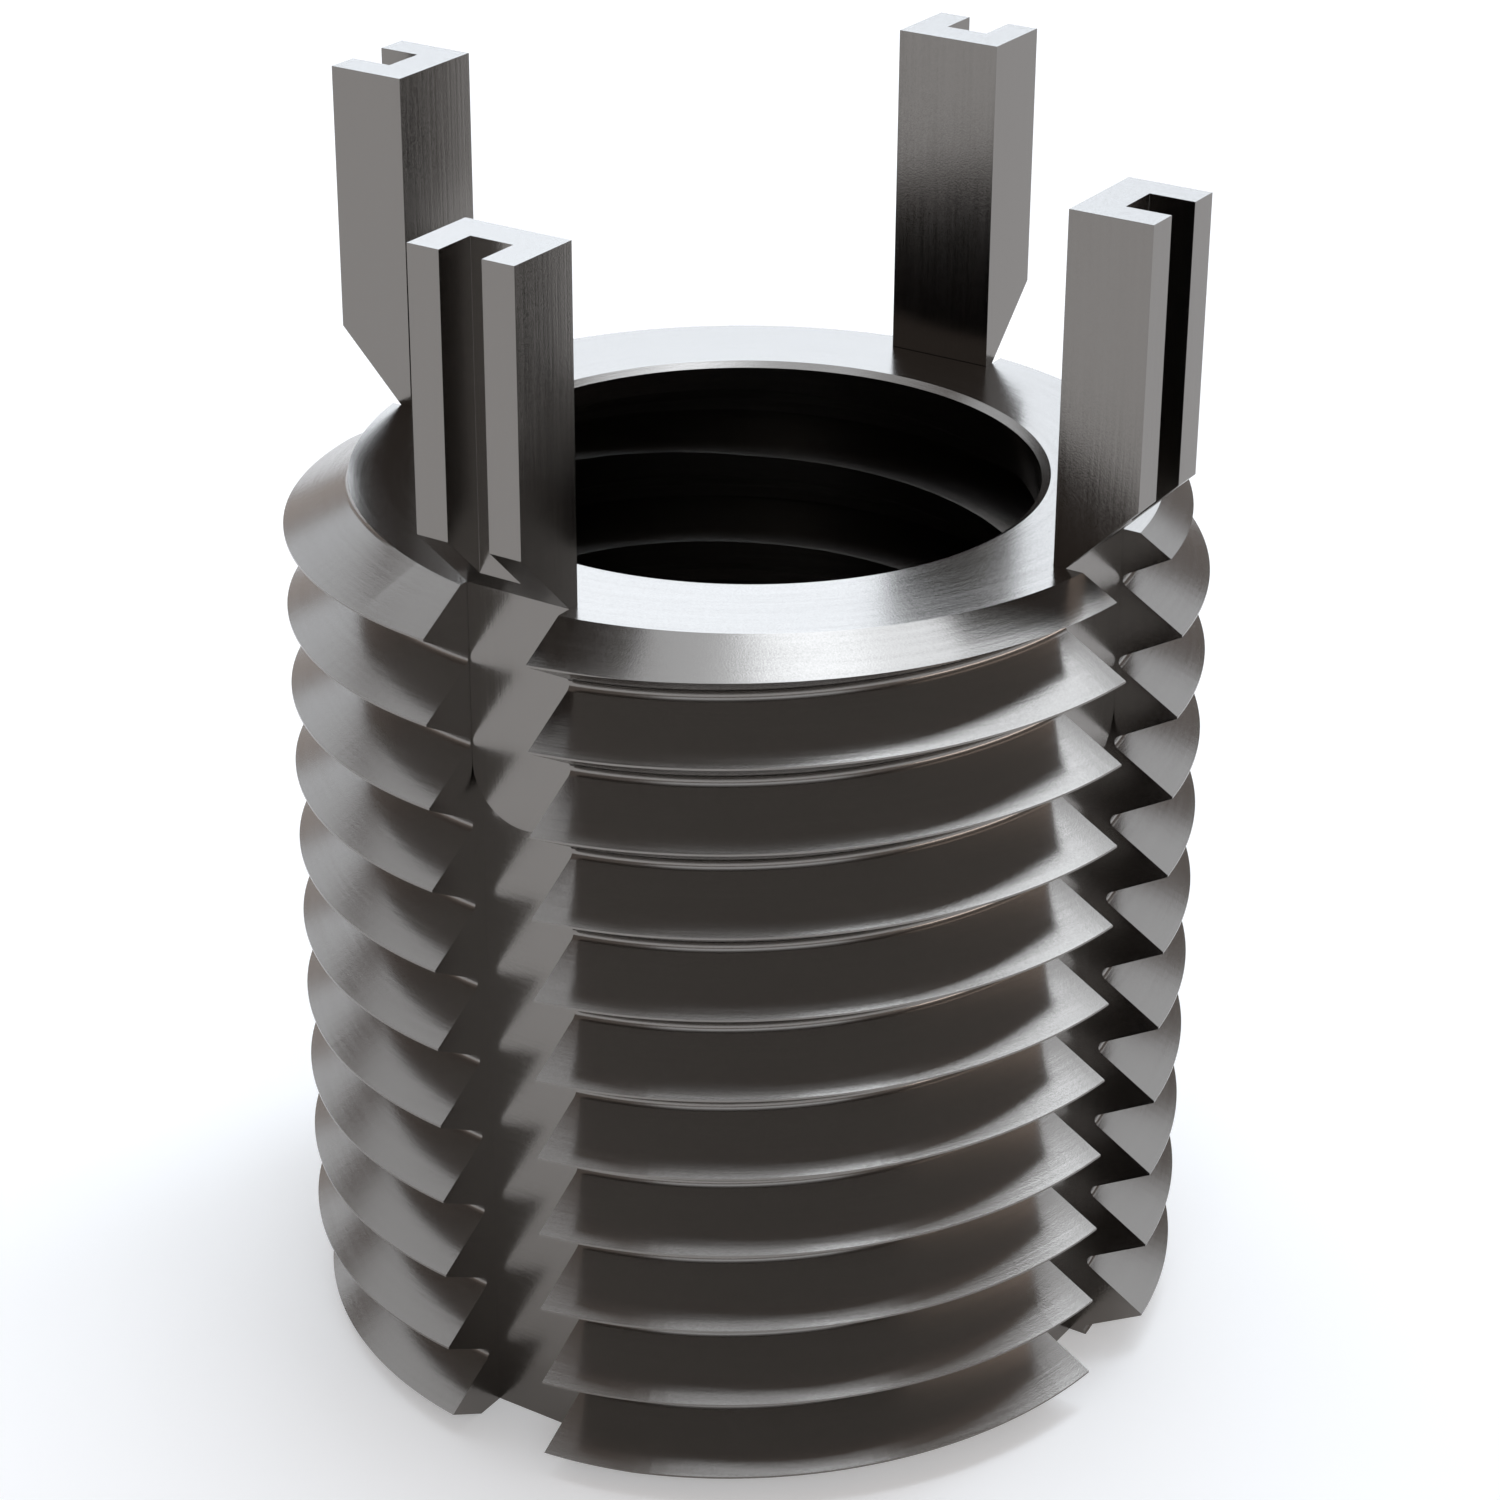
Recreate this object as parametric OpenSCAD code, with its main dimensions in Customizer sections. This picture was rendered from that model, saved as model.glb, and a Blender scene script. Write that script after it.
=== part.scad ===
// Thinwall threaded insert, as it comes before it is fitted: a sleeve with a thread inside and out,
// and four locking keys that stand in its keyways, ready to be driven down flush with its top face.
// The sleeve stands on its bottom face, with its axis on Z and the origin at that face's centre.

/* [Sleeve] */
// Length of the sleeve
sleeve_length = 16; // [12:0.5:30]
// Major diameter of the outside thread, over its sharp crests
outer_thread_d = 16; // [15.5:0.1:20]
// Pitch of the outside thread
outer_pitch = 1.5; // [1:0.25:2]
// Direction that the top crest's full height faces, in degrees about the axis
thread_start = -75; // [-180:15:180]

/* [Bore] */
// Nominal diameter of the screw that the bore takes
screw_d = 12; // [8:0.5:12.5]
// Pitch of the screw's thread
screw_pitch = 1.75; // [1:0.25:2]
// Width of the narrow chamfer at both mouths of the bore
mouth_chamfer = 0.15; // [0.05:0.05:0.4]
// Direction in which the screw's thread ends, in degrees about the axis
screw_thread_end = -57.3; // [-180:0.1:180]

/* [Locking keys] */
// Wall left between the screw thread's root and the floor of a keyway
thin_wall = 0.5; // [0.3:0.05:0.7]
// Width of a key
key_width = 2; // [1.4:0.1:3]
// Height of a key above the sleeve's top face before it is driven down
key_rise = 6; // [3:0.5:8]
// Length of a key's tongue, which holds it in its keyway
tongue_length = 4.2; // [2:0.1:8]
// Thickness of the tongue, measured from the floor of the keyway
tongue_thickness = 0.25; // [0.15:0.05:0.5]
// Width of the groove down a key's outer face
groove_width = 0.8; // [0.4:0.1:1.2]
// Depth of that groove
groove_depth = 0.8; // [0.3:0.1:1]
// Gap between a key and its keyway, at each side and at the floor
key_gap = 0.02; // [0.01:0.005:0.05]

/* [Hidden] */
$fn = 96;
eps = 0.01;

// A metric thread is a 60 degree V. Along a flank the axial step is this share of the radial one.
flank_slope = tan(30);
// The sharp V is this much deeper than its pitch is long
v_depth = cos(30);

// Outside thread: sharp crests, and a root flat an eighth of the pitch wide
crest_r = outer_thread_d / 2;
root_r = crest_r - outer_pitch * v_depth * 7 / 8;
flank_z = (crest_r - root_r) * flank_slope;
// Each end is chamfered at the flank's own angle, a third of a pitch high
end_chamfer = outer_pitch / 3;
rim_r = crest_r - end_chamfer / flank_slope;

// Bore: the minor radius of the screw's thread, as ISO 68-1 gives it
bore_r = screw_d / 2 - screw_pitch * v_depth * 5 / 8;
mouth_r = bore_r + mouth_chamfer;
mouth_depth = mouth_chamfer * flank_slope;
// The screw's thread is one groove that starts a sixth of a pitch inside a mouth, and deepens and
// fades over half a turn at each end, so that the mouths stay round
screw_end_gap = screw_pitch / 6;
screw_turns = (sleeve_length - 2 * screw_end_gap) / screw_pitch;
screw_fade = 0.5;
screw_steps = round(screw_turns * 48);
// The groove has the thread's pitch, its depth and its root an eighth of a pitch wide. Its flanks are
// steeper than the thread's, so that enough of the bore's wall stays round for a plug to gauge.
groove_root = screw_pitch / 8;
groove_mouth = screw_pitch * 0.58;
groove_slope = (groove_mouth - groove_root) / 2 / (screw_d / 2 - bore_r);

// Keyways run the whole length of the sleeve and are open outwards
keyway_floor_r = screw_d / 2 + thin_wall;
keyway_width = key_width + 2 * key_gap;
key_count = 4;

// The outside thread is a grid: one column of points for each step round the axis, and three rows
// for each turn (lower end of the flank, crest, upper end of the flank), which climb one pitch a turn.
columns = 60;
rows_a_turn = 3;
// Height of the lowest crest at angle 0, far enough below the bottom face to be clipped all round
clear_of_face = outer_pitch + flank_z + end_chamfer;
top_crest_z = sleeve_length - end_chamfer - outer_pitch * thread_start / 360;
turns_down = ceil((top_crest_z + clear_of_face) / outer_pitch);
first_crest_z = top_crest_z - outer_pitch * turns_down;
turns = ceil((sleeve_length - first_crest_z + flank_z + end_chamfer) / outer_pitch) + 1;
rows = turns * rows_a_turn;

// Height of crest number k at a column
function crest_z(column, k) = first_crest_z + outer_pitch * (k + column / columns);

// Radius of an end face's rim where the nearest crest is some distance along the axis from that face
function face_r(crest_offset) =
    let (past = abs(crest_offset % outer_pitch), near = min(past, outer_pitch - past))
    min(rim_r, max(root_r, crest_r - near / flank_slope));

// A point of the thread as [radius, depth inside the end face], clipped to that face and its chamfer.
// A crest near the face moves down its flank to where the chamfer cuts it.
function clipped(r, depth, rim) =
    r == crest_r && abs(depth) < end_chamfer
        ? [rim_r + (depth + end_chamfer) / 2 / flank_slope, (depth + end_chamfer) / 2]
        : depth <= 0 ? [rim, 0] : [r, depth];

// One point of the grid, clipped at whichever end is nearer
function thread_point(column, row) =
    let (
        angle = 360 * column / columns,
        part_of_turn = row % rows_a_turn - 1,
        r = part_of_turn == 0 ? crest_r : root_r,
        z = crest_z(column, floor(row / rows_a_turn)) + part_of_turn * flank_z,
        upper = z > sleeve_length / 2,
        crest = crest_z(column, 0),
        rim = face_r(upper ? sleeve_length - crest : crest),
        p = clipped(r, upper ? sleeve_length - z : z, rim)
    )
    [p[0] * cos(angle), p[0] * sin(angle), upper ? sleeve_length - p[1] : p[1]];

// Solid cylinder with the outside thread and the end chamfers
module threaded_blank() {
    points = [for (c = [0:columns - 1], r = [0:rows - 1]) thread_point(c, r)];
    bottom_centre = columns * rows;
    top_centre = bottom_centre + 1;
    // The last column meets the first one a turn further up
    function index(c, r) = c < columns ? c * rows + r : r + rows_a_turn;
    sides = [
        for (c = [0:columns - 1], r = [0:rows - (c < columns - 1 ? 2 : 2 + rows_a_turn)])
        each [
            [index(c, r), index(c, r + 1), index(c + 1, r + 1)],
            [index(c, r), index(c + 1, r + 1), index(c + 1, r)]
        ]
    ];
    ends = [
        for (c = [0:columns - 1], next = [(c + 1) % columns])
        each [
            [bottom_centre, c * rows, next * rows],
            [top_centre, (next + 1) * rows - 1, (c + 1) * rows - 1]
        ]
    ];
    polyhedron(
        points = concat(points, [[0, 0, 0], [0, 0, sleeve_length]]),
        faces = concat(sides, ends)
    );
}

// The bore at the screw thread's minor diameter, with a narrow chamfer at both mouths
module bore() {
    translate([0, 0, -eps])
        cylinder(r = bore_r, h = sleeve_length + 2 * eps);
    translate([0, 0, sleeve_length - mouth_depth])
        cylinder(r1 = bore_r, r2 = mouth_r, h = mouth_depth);
    cylinder(r1 = mouth_r, r2 = bore_r, h = mouth_depth);
}

// One corner of the groove's section at a step: two at its mouth, just inside the bore, and two at
// its root, on the screw's major diameter
function screw_point(step, corner) =
    let (
        turn = screw_turns * step / screw_steps,
        share = min(1, max(0.02, min(turn, screw_turns - turn) / screw_fade)),
        mouth = bore_r - 5 * eps,
        depth = screw_d / 2 - mouth,
        at_mouth = corner == 0 || corner == 3,
        half = groove_root / 2 + (at_mouth ? depth * groove_slope : 0),
        r = mouth + (at_mouth ? 0 : depth * share),
        angle = screw_thread_end + 360 * (turn - screw_turns)
    )
    [r * cos(angle), r * sin(angle),
     screw_end_gap + screw_pitch * turn + (corner < 2 ? -half : half) * share];

// The groove that the screw's thread runs in, as a solid to cut away
module screw_groove() {
    last = 4 * screw_steps;
    polyhedron(
        points = [for (step = [0:screw_steps], corner = [0:3]) screw_point(step, corner)],
        faces = concat(
            [[0, 3, 2], [0, 2, 1], [last, last + 1, last + 2], [last, last + 2, last + 3]],
            [
                for (step = [0:screw_steps - 1], corner = [0:3])
                let (here = 4 * step, next = (corner + 1) % 4)
                each [
                    [here + corner, here + next, here + 4 + next],
                    [here + corner, here + 4 + next, here + 4 + corner]
                ]
            ]
        )
    );
}

module keyway(number) {
    rotate(360 / key_count * (number - 1))
        translate([keyway_floor_r, -keyway_width / 2, -1])
            cube([crest_r - keyway_floor_r + 1, keyway_width, sleeve_length + 2]);
}

module threaded_sleeve() {
    color("silver")
        difference() {
            threaded_blank();
            bore();
            screw_groove();
            for (number = [1:key_count])
                keyway(number);
        }
}

// A key: a head above the sleeve that is as thick as its keyway is deep, a 45 degree bevel down to
// the thin tongue, and a full round at the tongue's end. A groove runs down the head and the bevel.
module locking_key(number) {
    inner_x = keyway_floor_r + key_gap;
    tongue_x = keyway_floor_r + tongue_thickness;
    bevel = crest_r - tongue_x;
    tip_z = sleeve_length - tongue_length;
    top_z = sleeve_length + key_rise;
    color("darkgray")
        rotate(360 / key_count * (number - 1))
            difference() {
                intersection() {
                    translate([0, key_width / 2, 0])
                        rotate([90, 0, 0])
                            linear_extrude(key_width)
                                polygon([
                                    [inner_x, tip_z], [tongue_x, tip_z],
                                    [tongue_x, sleeve_length], [crest_r, sleeve_length + bevel],
                                    [crest_r, top_z], [inner_x, top_z]
                                ]);
                    union() {
                        translate([0, 0, tip_z + key_width / 2])
                            rotate([0, 90, 0])
                                cylinder(d = key_width, h = crest_r + 1);
                        translate([0, -key_width / 2 - 1, tip_z + key_width / 2])
                            cube([crest_r + 1, key_width + 2, top_z - tip_z]);
                    }
                }
                translate([crest_r - groove_depth, -groove_width / 2, sleeve_length])
                    cube([groove_depth + 1, groove_width, key_rise + 1]);
            }
}

threaded_sleeve();
locking_key(1);  // locking_key_1
locking_key(2);  // locking_key_2
locking_key(3);  // locking_key_3
locking_key(4);  // locking_key_4
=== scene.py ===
import math

import bmesh
import bpy
from mathutils import Matrix, Vector


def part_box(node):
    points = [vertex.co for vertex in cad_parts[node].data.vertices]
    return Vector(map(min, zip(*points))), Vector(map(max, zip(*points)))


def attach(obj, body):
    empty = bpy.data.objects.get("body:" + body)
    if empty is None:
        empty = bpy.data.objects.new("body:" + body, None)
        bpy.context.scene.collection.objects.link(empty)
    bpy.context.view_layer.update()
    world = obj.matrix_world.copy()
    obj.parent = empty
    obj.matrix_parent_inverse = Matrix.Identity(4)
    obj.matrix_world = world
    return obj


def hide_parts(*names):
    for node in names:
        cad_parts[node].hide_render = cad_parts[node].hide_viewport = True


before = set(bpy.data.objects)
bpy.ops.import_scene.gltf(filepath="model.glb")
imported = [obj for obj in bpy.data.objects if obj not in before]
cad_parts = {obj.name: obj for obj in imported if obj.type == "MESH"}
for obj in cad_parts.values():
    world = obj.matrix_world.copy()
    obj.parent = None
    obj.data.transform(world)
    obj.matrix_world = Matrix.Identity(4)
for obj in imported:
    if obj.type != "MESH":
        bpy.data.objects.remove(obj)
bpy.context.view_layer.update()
mm = 0.001

# The photo's view
# A long lens looks down on the sleeve from between two keys, 26 degrees below the level. The place and
# the turn are those that put the sleeve's rims and the keys' corners where the photograph has them.
camera_axis_distance = 60.622 * mm
camera_height = 39.978 * mm
camera_azimuth = math.radians(-57.29)
camera_pitch = math.radians(-25.909)
camera_yaw = math.radians(0.055)
camera_roll = math.radians(0.329)

camera = bpy.data.objects.new("camera", bpy.data.cameras.new("camera"))
camera.data.lens = 90.567
camera.data.clip_start = 1 * mm
camera.data.clip_end = 10
heading = camera_azimuth + math.pi - camera_yaw
look = Vector((math.cos(camera_pitch) * math.cos(heading),
               math.cos(camera_pitch) * math.sin(heading),
               math.sin(camera_pitch)))
level_right = look.cross(Vector((0, 0, 1))).normalized()
level_up = level_right.cross(look)
right = level_right * math.cos(camera_roll) + level_up * math.sin(camera_roll)
up = right.cross(look)
camera.matrix_world = Matrix.Translation((
    camera_axis_distance * math.cos(camera_azimuth),
    camera_axis_distance * math.sin(camera_azimuth),
    camera_height)) @ Matrix((right, up, -look)).transposed().to_4x4()
bpy.context.scene.collection.objects.link(camera)
bpy.context.scene.camera = camera

# The studio
# Soft boxes round the part, each given by its bearing to the left of the camera's heading, its elevation,
# its width and height in degrees, its strength and its tint. All but the front box stand behind, beside
# or above the part, so the metal takes its shape from the floor and from the light behind it.
cool = "#e9f4ff"
warm = "#fff2eb"
room_strength = 0.32
box_distance = 700 * mm
aim = Vector((0, 0, 12 * mm))


def linear(code):
    """A hex sRGB colour as the linear colour that a shader takes."""
    parts = [int(code[i:i + 2], 16) / 255 for i in (1, 3, 5)]
    return (*[p / 12.92 if p <= 0.04045 else ((p + 0.055) / 1.055) ** 2.4 for p in parts], 1)


bpy.context.scene.view_settings.view_transform = "Standard"
world = bpy.data.worlds.new("dim studio")
bpy.context.scene.world = world
world.use_nodes = True
room = world.node_tree.nodes["Background"]
room.inputs["Color"].default_value = linear(warm)
room.inputs["Strength"].default_value = room_strength
for name, bearing, elevation, wide, tall, strength, tint in (
        ("back box", 0, 25, 27, 24, 2.9, cool),
        ("upper back box", 4, 29, 18, 13, 2.0, cool),
        ("left wall", 30, 30, 26, 36, 1.62, cool),
        ("left upper wall", 62, 48, 22, 50, 1.23, cool),
        ("right wall", -45, 34, 50, 28, 1.55, cool),
        ("right upper box", -60, 67, 15, 42, 5.01, cool),
        ("top box", 15, 86, 30, 30, 1.9, cool),
        ("front box", 180, 28, 50, 34, 1.2, cool),
        ("low right strip", -105, 6.5, 60, 11, 4.0, warm),
        ("low left strip", 60, 6.5, 90, 11, 0.4, warm)):
    lamp = bpy.data.lights.new(name, "AREA")
    lamp.shape = "RECTANGLE"
    lamp.color = linear(tint)[:3]
    lamp.size = 2 * box_distance * math.tan(math.radians(wide / 2))
    lamp.size_y = 2 * box_distance * math.tan(math.radians(tall / 2))
    lamp.energy = strength * math.pi * lamp.size * lamp.size_y
    box = bpy.data.objects.new(name, lamp)
    turn = heading + math.radians(bearing)
    rise = math.radians(elevation)
    away = Vector((math.cos(rise) * math.cos(turn), math.cos(rise) * math.sin(turn), math.sin(rise)))
    box.matrix_world = (Matrix.Translation(aim + away * box_distance)
                        @ away.to_track_quat("Z", "Y").to_matrix().to_4x4())
    bpy.context.scene.collection.objects.link(box)


# The threaded sleeve
# One bar of stainless steel, bored and turned to its outside diameter, chamfered at both ends, then
# screw-cut inside and out with right-hand threads. The keyways are cut last, along the whole length.
sleeve_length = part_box("threaded_sleeve")[1].z
crest_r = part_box("locking_key_1")[1].x
outer_pitch = 1.5 * mm
crest_land = 0.035 * mm
outer_depth = 1.137 * mm
thread_start = math.radians(-75)
end_chamfer = outer_pitch / 3
screw_r = 6 * mm
screw_pitch = 1.75 * mm
screw_depth = screw_pitch * math.cos(math.radians(30)) * 5 / 8
screw_start = math.radians(-57.3)
bore_r = screw_r - screw_depth
mouth_chamfer = 0.15 * mm
keyway_floor_r = 6.5 * mm
keyway_width = 2.002 * mm
key_count = 4
flank_slope = math.tan(math.radians(30))
steps_per_turn = 180
outline_spare = 0.4 * mm
sharpest_smooth = math.radians(28)


def add(tree, kind, values=None, **settings):
    """A node with its settings. Each input is given a value, or a link from a socket or from several."""
    node = tree.nodes.new(kind)
    for name, value in settings.items():
        setattr(node, name, value)
    for name, value in (values or {}).items():
        for source in value if isinstance(value, list) else [value]:
            if isinstance(source, bpy.types.NodeSocket):
                tree.links.new(source, node.inputs[name])
            else:
                node.inputs[name].default_value = source
    return node


def new_tree(name, **inputs):
    """A geometry tree that takes and gives geometry, with a named input for each size."""
    tree = bpy.data.node_groups.new(name, "GeometryNodeTree")
    tree.interface.new_socket("Geometry", in_out="INPUT", socket_type="NodeSocketGeometry")
    tree.interface.new_socket("Geometry", in_out="OUTPUT", socket_type="NodeSocketGeometry")
    for label, kind in inputs.items():
        tree.interface.new_socket(label.replace("_", " "), in_out="INPUT", socket_type="NodeSocket" + kind)
    return tree, tree.nodes.new("NodeGroupInput").outputs


def new_piece(name, points, edges=(), faces=()):
    """An object at the origin with a mesh of these points."""
    mesh = bpy.data.meshes.new(name)
    mesh.from_pydata(points, edges, faces)
    piece = bpy.data.objects.new(name, mesh)
    bpy.context.scene.collection.objects.link(piece)
    return piece


def drawn(name, outline):
    """A closed outline of (x, y) points as a loop of edges, for a tree to sweep or fill."""
    count = len(outline)
    return new_piece(name, [(x, y, 0) for x, y in outline], [(i, (i + 1) % count) for i in range(count)])


def grown(piece, tree, edge=0, **sizes):
    """The piece with its mesh as the tree makes it from these sizes, and the modifiers gone again."""
    modifier = piece.modifiers.new("tree", "NODES")
    modifier.node_group = tree
    for item in tree.interface.items_tree:
        label = item.name.replace(" ", "_")
        if item.in_out == "INPUT" and label in sizes:
            modifier[item.identifier] = sizes[label]
    if edge:
        rounded = piece.modifiers.new("edges", "BEVEL")
        rounded.width = edge
        rounded.segments = 2
        rounded.limit_method = "ANGLE"
        rounded.harden_normals = True
    bpy.context.view_layer.update()
    made = bpy.data.meshes.new_from_object(piece.evaluated_get(bpy.context.evaluated_depsgraph_get()))
    piece.modifiers.clear()
    piece.data = made
    return piece


# A thread's groove is the outline of its cutting tool, swept up a right-hand helix. Over the first
# and the last part of its turns the cut deepens and fades, so that a thread can stop short of an end.
groove_tree, given = new_tree("thread groove", Radius="Float", Pitch="Float", Turns="Float", Fade="Float",
                              Steps="Int", Start_Height="Float", Start_Angle="Float")
climb = add(groove_tree, "ShaderNodeMath", {0: given["Pitch"], 1: given["Turns"]}, operation="MULTIPLY")
helix = add(groove_tree, "GeometryNodeCurveSpiral", {
    "Resolution": given["Steps"], "Rotations": given["Turns"], "Start Radius": given["Radius"],
    "End Radius": given["Radius"], "Height": climb.outputs[0], "Reverse": True})
upright = add(groove_tree, "GeometryNodeSetCurveNormal", {"Curve": helix.outputs[0]}, mode="Z_UP")
along = add(groove_tree, "GeometryNodeSplineParameter")
from_start = add(groove_tree, "ShaderNodeMath", {
    0: along.outputs["Factor"], 1: given["Turns"]}, operation="MULTIPLY")
from_end = add(groove_tree, "ShaderNodeMath", {
    0: given["Turns"], 1: from_start.outputs[0]}, operation="SUBTRACT")
nearer = add(groove_tree, "ShaderNodeMath", {
    0: from_start.outputs[0], 1: from_end.outputs[0]}, operation="MINIMUM")
share = add(groove_tree, "ShaderNodeMapRange", {
    "Value": nearer.outputs[0], "From Max": given["Fade"], "To Min": 0.02})
outline = add(groove_tree, "GeometryNodeMeshToCurve", {"Mesh": given["Geometry"]})
swept = add(groove_tree, "GeometryNodeCurveToMesh", {
    "Curve": upright.outputs[0], "Profile Curve": outline.outputs[0],
    "Scale": share.outputs["Result"], "Fill Caps": True})
lift = add(groove_tree, "ShaderNodeCombineXYZ", {"Z": given["Start Height"]})
spin = add(groove_tree, "ShaderNodeCombineXYZ", {"Z": given["Start Angle"]})
placed = add(groove_tree, "GeometryNodeTransform", {
    "Geometry": swept.outputs[0], "Translation": lift.outputs[0], "Rotation": spin.outputs[0]})
add(groove_tree, "NodeGroupOutput", {"Geometry": placed.outputs[0]})

# The outside tool is a 60 degree V with a rounded tip, and leaves the crests almost sharp. Its helix
# starts and ends clear of the sleeve.
half_mouth = (outer_pitch - crest_land) / 2
v_tip = -half_mouth / flank_slope
tip_r = -outer_depth - v_tip
tip_centre = v_tip + 2 * tip_r
outer_tool = drawn("outer_thread_groove", [
    (outline_spare, half_mouth), (0, half_mouth),
    *[(tip_centre + tip_r * math.cos(math.radians(a)), tip_r * math.sin(math.radians(a)))
      for a in range(120, 241, 20)],
    (0, -half_mouth), (outline_spare, -half_mouth)])
turns_above = 1.5
turns_below = math.ceil(sleeve_length / outer_pitch) + 1.5
grown(outer_tool, groove_tree, Radius=crest_r, Pitch=outer_pitch, Turns=turns_below + turns_above, Fade=0.1,
      Steps=steps_per_turn, Start_Angle=thread_start,
      Start_Height=sleeve_length - end_chamfer - outer_pitch * turns_below)

# The inside tool cuts a root an eighth of a pitch wide and leaves crests a quarter of a pitch wide.
# It starts a sixth of a pitch inside each mouth, half a turn from full depth, as in the photograph,
# whose mouths are clean circles.
inside = 0.05 * mm
screw_gap = screw_pitch / 6
screw_turns = (sleeve_length - 2 * screw_gap) / screw_pitch
screw_tool = drawn("screw_thread_groove", [
    (-outline_spare, -screw_pitch * 3 / 8), (inside, -screw_pitch * 3 / 8),
    (inside + screw_depth, -screw_pitch / 16), (inside + screw_depth, screw_pitch / 16),
    (inside, screw_pitch * 3 / 8), (-outline_spare, screw_pitch * 3 / 8)])
grown(screw_tool, groove_tree, Radius=bore_r - inside, Pitch=screw_pitch, Turns=screw_turns, Fade=0.5,
      Steps=steps_per_turn, Start_Height=screw_gap, Start_Angle=screw_start - math.tau * screw_turns)

# The turned and bored blank, as a ring swept round the axis
rim_r = crest_r - end_chamfer / flank_slope
mouth_r = bore_r + mouth_chamfer
mouth_depth = mouth_chamfer * flank_slope
section = [(mouth_r, 0), (rim_r, 0), (crest_r, end_chamfer), (crest_r, sleeve_length - end_chamfer),
           (rim_r, sleeve_length), (mouth_r, sleeve_length), (bore_r, sleeve_length - mouth_depth),
           (bore_r, mouth_depth)]
sleeve = new_piece("sleeve", [])
work = bmesh.new()
corners = [work.verts.new((r, 0, z)) for r, z in section]
edges = [work.edges.new((a, b)) for a, b in zip(corners, corners[1:] + corners[:1])]
bmesh.ops.spin(work, geom=corners + edges, cent=(0, 0, 0), axis=(0, 0, 1),
               angle=math.tau, steps=2 * steps_per_turn, use_merge=True)
bmesh.ops.recalc_face_normals(work, faces=work.faces)
work.to_mesh(sleeve.data)
work.free()

# The grooves and the keyways are cut out of the blank
cut_tree, given = new_tree("screw-cut sleeve", Outer_Groove="Object", Screw_Groove="Object",
                           Keyways="Int", Keyway_Floor="Float", Keyway_Width="Float",
                           Length="Float", Material="Material")
outer_cut = add(cut_tree, "GeometryNodeObjectInfo", {"Object": given["Outer Groove"]})
screw_cut = add(cut_tree, "GeometryNodeObjectInfo", {"Object": given["Screw Groove"]})
cutter_spare = 2 * mm
cutter_depth = 3 * mm
cutter_length = add(cut_tree, "ShaderNodeMath", {0: given["Length"], 1: cutter_spare}, operation="ADD")
cutter_size = add(cut_tree, "ShaderNodeCombineXYZ", {
    "X": cutter_depth, "Y": given["Keyway Width"], "Z": cutter_length.outputs[0]})
cutter = add(cut_tree, "GeometryNodeMeshCube", {"Size": cutter_size.outputs[0]})
cutter_x = add(cut_tree, "ShaderNodeMath", {
    0: given["Keyway Floor"], 1: cutter_depth / 2}, operation="ADD")
cutter_z = add(cut_tree, "ShaderNodeMath", {0: given["Length"], 1: 0.5}, operation="MULTIPLY")
cutter_place = add(cut_tree, "ShaderNodeCombineXYZ", {"X": cutter_x.outputs[0], "Z": cutter_z.outputs[0]})
cutter_moved = add(cut_tree, "GeometryNodeTransform", {
    "Geometry": cutter.outputs["Mesh"], "Translation": cutter_place.outputs[0]})
stations = add(cut_tree, "GeometryNodeMeshLine", {"Count": given["Keyways"], "Offset": (0, 0, 0)})
station = add(cut_tree, "GeometryNodeInputIndex")
station_step = add(cut_tree, "ShaderNodeMath", {0: math.tau, 1: given["Keyways"]}, operation="DIVIDE")
station_angle = add(cut_tree, "ShaderNodeMath", {
    0: station.outputs[0], 1: station_step.outputs[0]}, operation="MULTIPLY")
station_turn = add(cut_tree, "ShaderNodeCombineXYZ", {"Z": station_angle.outputs[0]})
cutters = add(cut_tree, "GeometryNodeInstanceOnPoints", {
    "Points": stations.outputs[0], "Instance": cutter_moved.outputs[0], "Rotation": station_turn.outputs[0]})
keyways = add(cut_tree, "GeometryNodeRealizeInstances", {"Geometry": cutters.outputs[0]})
cut = add(cut_tree, "GeometryNodeMeshBoolean", {
    "Mesh 1": given["Geometry"],
    "Mesh 2": [outer_cut.outputs["Geometry"], screw_cut.outputs["Geometry"], keyways.outputs[0]]},
    operation="DIFFERENCE", solver="MANIFOLD")
whole = add(cut_tree, "GeometryNodeRealizeInstances", {"Geometry": cut.outputs["Mesh"]})
finished = add(cut_tree, "GeometryNodeSetMaterial", {
    "Geometry": whole.outputs[0], "Material": given["Material"]})
add(cut_tree, "NodeGroupOutput", {"Geometry": finished.outputs[0]})

# Stainless steel, screw-cut and passivated: a dark satin metal. The tool has left faint marks round the
# axis, one to each feed and a micrometre high, and the passivating bath a fine grain. The real grain is
# about 0.01 mm, and it is drawn coarser so that it shows at all. The two patterns' sum moves the roughness.
feed = 0.08 * mm
mark_reach = 2 * feed
mark_height = 0.001 * mm
grain_size = 0.03 * mm
grain_height = 0.0005 * mm
noise_low = 0.6
noise_high = 1.4
smoothest = 0.16
roughest = 0.24
steel_grey = linear("#75716d")
turned_steel = bpy.data.materials.new("screw-cut stainless steel")
turned_steel.use_nodes = True
tree = turned_steel.node_tree
place = add(tree, "ShaderNodeTexCoord")
spot = add(tree, "ShaderNodeSeparateXYZ", {"Vector": place.outputs["Object"]})
across = add(tree, "ShaderNodeVectorMath", {0: place.outputs["Object"], 1: (1, 1, 0)}, operation="MULTIPLY")
radius = add(tree, "ShaderNodeVectorMath", {0: across.outputs["Vector"]}, operation="LENGTH")
facing = add(tree, "ShaderNodeVectorMath", {0: across.outputs["Vector"]}, operation="NORMALIZE")
ring = add(tree, "ShaderNodeCombineXYZ", {"Z": radius.outputs["Value"]})
lathe = add(tree, "ShaderNodeVectorMath", {
    0: facing.outputs["Vector"], 1: (mark_reach, mark_reach, 0), 2: ring.outputs[0]},
    operation="MULTIPLY_ADD")
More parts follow.
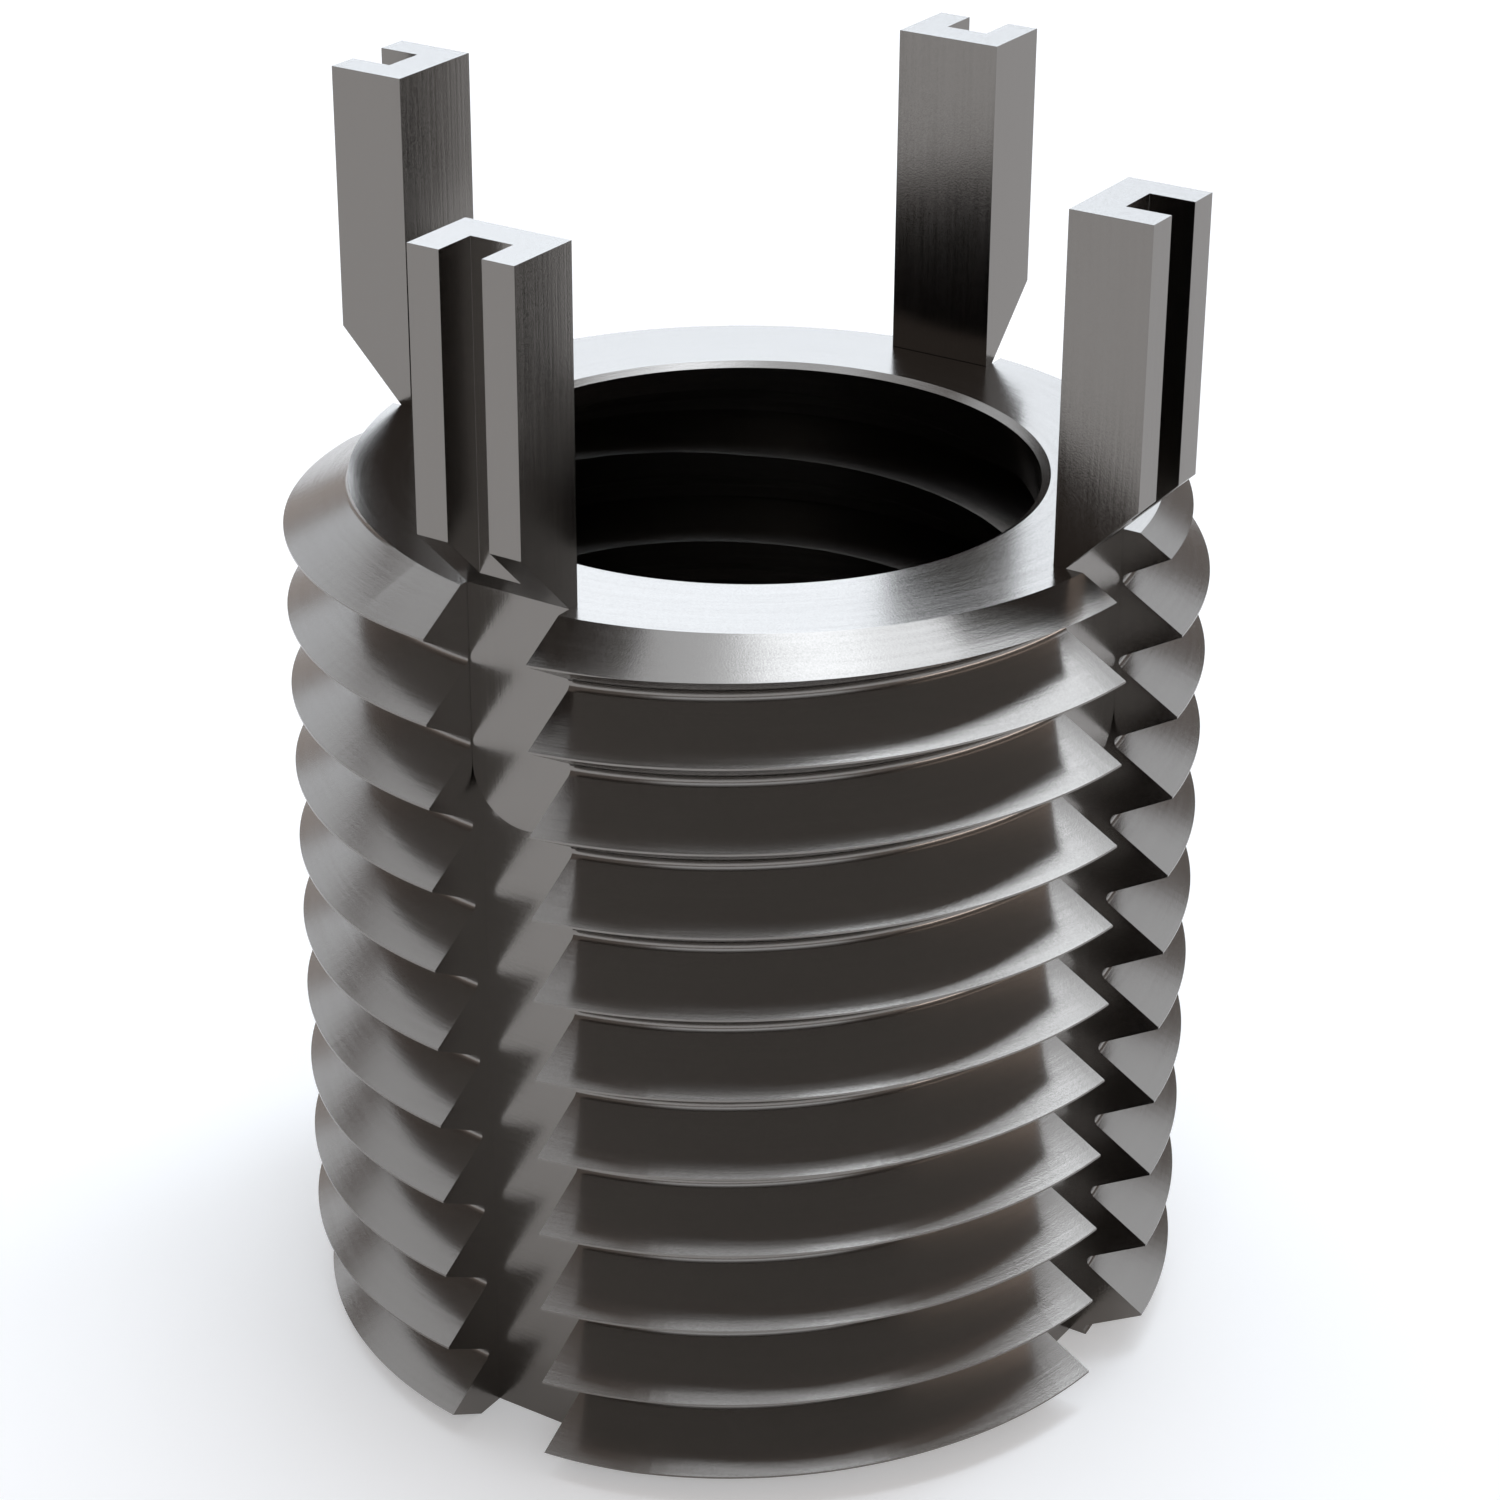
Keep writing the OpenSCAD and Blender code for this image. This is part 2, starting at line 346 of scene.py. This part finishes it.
marks = add(tree, "ShaderNodeTexNoise", {
    "Vector": lathe.outputs["Vector"], "W": spot.outputs["Z"], "Scale": 1 / feed, "Detail": 2},
    noise_dimensions="4D")
grain = add(tree, "ShaderNodeTexNoise", {
    "Vector": place.outputs["Object"], "Scale": 1 / grain_size, "Detail": 0})
unevenness = add(tree, "ShaderNodeMath", {0: marks.outputs["Fac"], 1: grain.outputs["Fac"]}, operation="ADD")
roughness = add(tree, "ShaderNodeMapRange", {
    "Value": unevenness.outputs[0], "From Min": noise_low, "From Max": noise_high,
    "To Min": smoothest, "To Max": roughest})
marked = add(tree, "ShaderNodeBump", {"Height": marks.outputs["Fac"], "Distance": mark_height})
grained = add(tree, "ShaderNodeBump", {
    "Height": grain.outputs["Fac"], "Distance": grain_height, "Normal": marked.outputs["Normal"]})
metal = tree.nodes["Principled BSDF"]
metal.inputs["Base Color"].default_value = steel_grey
metal.inputs["Metallic"].default_value = 1
tree.links.new(roughness.outputs["Result"], metal.inputs["Roughness"])
tree.links.new(grained.outputs["Normal"], metal.inputs["Normal"])

grown(sleeve, cut_tree, Outer_Groove=outer_tool, Screw_Groove=screw_tool, Keyways=key_count,
      Keyway_Floor=keyway_floor_r, Keyway_Width=keyway_width, Length=sleeve_length, Material=turned_steel)
sleeve.data.shade_smooth()
sleeve.data.set_sharp_from_angle(angle=sharpest_smooth)
for tool in (outer_tool, screw_tool):
    bpy.data.objects.remove(tool)
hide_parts("threaded_sleeve")
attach(sleeve, "sleeve")

# The four locking keys
# Each is a length of drawn steel bar, milled down to a thin tongue with a full-round end and slotted
# down its outer face. Its tongue sits in a keyway, and the rest stands clear until it is driven down.
key_low, key_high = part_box("locking_key_1")
key_width = key_high.y - key_low.y
tongue_x = 6.75 * mm
groove_width = 0.8 * mm
groove_depth = 0.8 * mm
key_edge = 0.004 * mm
spare = 1 * mm


def bar(name, section, run):
    """A solid bar whose ends are a section of points and the same section moved on by run."""
    count = len(section)
    ends = [tuple(p) for p in section] + [tuple(Vector(p) + Vector(run)) for p in section]
    sides = [(i, (i + 1) % count, (i + 1) % count + count, i + count) for i in range(count)]
    piece = new_piece(name, ends, [], [range(count), range(count, 2 * count), *sides])
    work = bmesh.new()
    work.from_mesh(piece.data)
    bmesh.ops.recalc_face_normals(work, faces=work.faces)
    work.to_mesh(piece.data)
    work.free()
    return piece


key_tree, given = new_tree("locking key", Rounded_Front="Object", Groove_Width="Float",
                           Groove_Floor="Float", Groove_Foot="Float", Turn="Float", Material="Material")
front = add(key_tree, "GeometryNodeObjectInfo", {"Object": given["Rounded Front"]})
shaped = add(key_tree, "GeometryNodeMeshBoolean", {
    "Mesh 2": [given["Geometry"], front.outputs["Geometry"]]}, operation="INTERSECT", solver="MANIFOLD")
mill_size = 8 * mm
mill_shape = add(key_tree, "ShaderNodeCombineXYZ", {
    "X": mill_size, "Y": given["Groove Width"], "Z": mill_size})
mill = add(key_tree, "GeometryNodeMeshCube", {"Size": mill_shape.outputs[0]})
mill_x = add(key_tree, "ShaderNodeMath", {0: given["Groove Floor"], 1: mill_size / 2}, operation="ADD")
mill_z = add(key_tree, "ShaderNodeMath", {0: given["Groove Foot"], 1: mill_size / 2}, operation="ADD")
mill_place = add(key_tree, "ShaderNodeCombineXYZ", {"X": mill_x.outputs[0], "Z": mill_z.outputs[0]})
mill_moved = add(key_tree, "GeometryNodeTransform", {
    "Geometry": mill.outputs["Mesh"], "Translation": mill_place.outputs[0]})
slotted = add(key_tree, "GeometryNodeMeshBoolean", {
    "Mesh 1": shaped.outputs["Mesh"], "Mesh 2": mill_moved.outputs[0]},
    operation="DIFFERENCE", solver="MANIFOLD")
key_turn = add(key_tree, "ShaderNodeCombineXYZ", {"Z": given["Turn"]})
turned = add(key_tree, "GeometryNodeTransform", {
    "Geometry": slotted.outputs["Mesh"], "Rotation": key_turn.outputs[0]})
smooth = add(key_tree, "GeometryNodeSetShadeSmooth", {"Geometry": turned.outputs[0]})
whole = add(key_tree, "GeometryNodeRealizeInstances", {"Geometry": smooth.outputs[0]})
finished = add(key_tree, "GeometryNodeSetMaterial", {
    "Geometry": whole.outputs[0], "Material": given["Material"]})
add(key_tree, "NodeGroupOutput", {"Geometry": finished.outputs[0]})

# The key's front with its round end, a little too thick. The bars below have the key's side, and are a
# little too wide, and each key is what the two shapes share.
round_z = key_low.z + key_width / 2
key_front = bar("key_front", [
    (0, key_width / 2, key_high.z + spare),
    *[(0, key_width / 2 * math.cos(math.radians(a)), round_z - key_width / 2 * math.sin(math.radians(a)))
      for a in range(0, 181, 5)],
    (0, -key_width / 2, key_high.z + spare)], (key_high.x + spare, 0, 0))

# Drawn stainless steel: the sleeve's dark satin metal, with the die's faint lines along its length in
# place of the tool's marks. A line is as much longer than it is wide as along_line is less than 1.
die_line = 0.06 * mm
line_height = 0.001 * mm
along_line = 0.02
drawn_steel = bpy.data.materials.new("drawn stainless steel")
drawn_steel.use_nodes = True
tree = drawn_steel.node_tree
place = add(tree, "ShaderNodeTexCoord")
drawing = add(tree, "ShaderNodeVectorMath", {
    0: place.outputs["Object"], 1: (1, 1, along_line)}, operation="MULTIPLY")
lines = add(tree, "ShaderNodeTexNoise", {
    "Vector": drawing.outputs["Vector"], "Scale": 1 / die_line, "Detail": 2})
grain = add(tree, "ShaderNodeTexNoise", {
    "Vector": place.outputs["Object"], "Scale": 1 / grain_size, "Detail": 0})
unevenness = add(tree, "ShaderNodeMath", {0: lines.outputs["Fac"], 1: grain.outputs["Fac"]}, operation="ADD")
roughness = add(tree, "ShaderNodeMapRange", {
    "Value": unevenness.outputs[0], "From Min": noise_low, "From Max": noise_high,
    "To Min": smoothest, "To Max": roughest})
lined = add(tree, "ShaderNodeBump", {"Height": lines.outputs["Fac"], "Distance": line_height})
grained = add(tree, "ShaderNodeBump", {
    "Height": grain.outputs["Fac"], "Distance": grain_height, "Normal": lined.outputs["Normal"]})
metal = tree.nodes["Principled BSDF"]
metal.inputs["Base Color"].default_value = steel_grey
metal.inputs["Metallic"].default_value = 1
tree.links.new(roughness.outputs["Result"], metal.inputs["Roughness"])
tree.links.new(grained.outputs["Normal"], metal.inputs["Normal"])

for number in range(1, key_count + 1):
    key = bar("key_%d" % number, [
        (x, -key_width / 2 - spare, z) for x, z in (
            (key_low.x, key_low.z), (tongue_x, key_low.z), (tongue_x, sleeve_length),
            (key_high.x, sleeve_length + key_high.x - tongue_x), (key_high.x, key_high.z),
            (key_low.x, key_high.z))], (0, key_width + 2 * spare, 0))
    grown(key, key_tree, edge=key_edge, Rounded_Front=key_front, Groove_Width=groove_width,
          Groove_Floor=key_high.x - groove_depth, Groove_Foot=sleeve_length,
          Turn=math.tau * (number - 1) / key_count, Material=drawn_steel)
    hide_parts("locking_key_%d" % number)
    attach(key, "key_%d" % number)
bpy.data.objects.remove(key_front)

# The floor
# A sheet of white card with a faint tooth. It takes the part's soft shadow, and part of its white is its
# own, for the camera and for the metal's reflections alike.
card_reach = 600 * mm
fibre = 0.15 * mm
fibre_height = 0.002 * mm
own_share = 0.24
floor = new_piece("floor", [
    (-card_reach, -card_reach, 0), (card_reach, -card_reach, 0),
    (card_reach, card_reach, 0), (-card_reach, card_reach, 0)], [], [(0, 1, 2, 3)])
card = bpy.data.materials.new("white card")
card.use_nodes = True
tree = card.node_tree
tree.nodes.clear()
place = add(tree, "ShaderNodeTexCoord")
fibres = add(tree, "ShaderNodeTexNoise", {
    "Vector": place.outputs["Object"], "Scale": 1 / fibre, "Detail": 3})
tooth = add(tree, "ShaderNodeBump", {"Height": fibres.outputs["Fac"], "Distance": fibre_height})
ray = add(tree, "ShaderNodeLightPath")
seen = add(tree, "ShaderNodeMath", {
    0: ray.outputs["Is Camera Ray"], 1: ray.outputs["Is Glossy Ray"]}, operation="ADD")
seen_through = add(tree, "ShaderNodeMath", {
    0: seen.outputs[0], 1: ray.outputs["Is Transmission Ray"]}, operation="ADD")
own_light = add(tree, "ShaderNodeMath", {0: seen_through.outputs[0], 1: own_share}, operation="MULTIPLY")
glow = add(tree, "ShaderNodeEmission", {"Strength": own_light.outputs[0]})
paper = add(tree, "ShaderNodeBsdfDiffuse", {
    "Color": linear("#f3f3f3"), "Roughness": 0.5, "Normal": tooth.outputs["Normal"]})
both = add(tree, "ShaderNodeAddShader", {0: glow.outputs[0], 1: paper.outputs[0]})
add(tree, "ShaderNodeOutputMaterial", {"Surface": both.outputs[0]})
floor.data.materials.append(card)
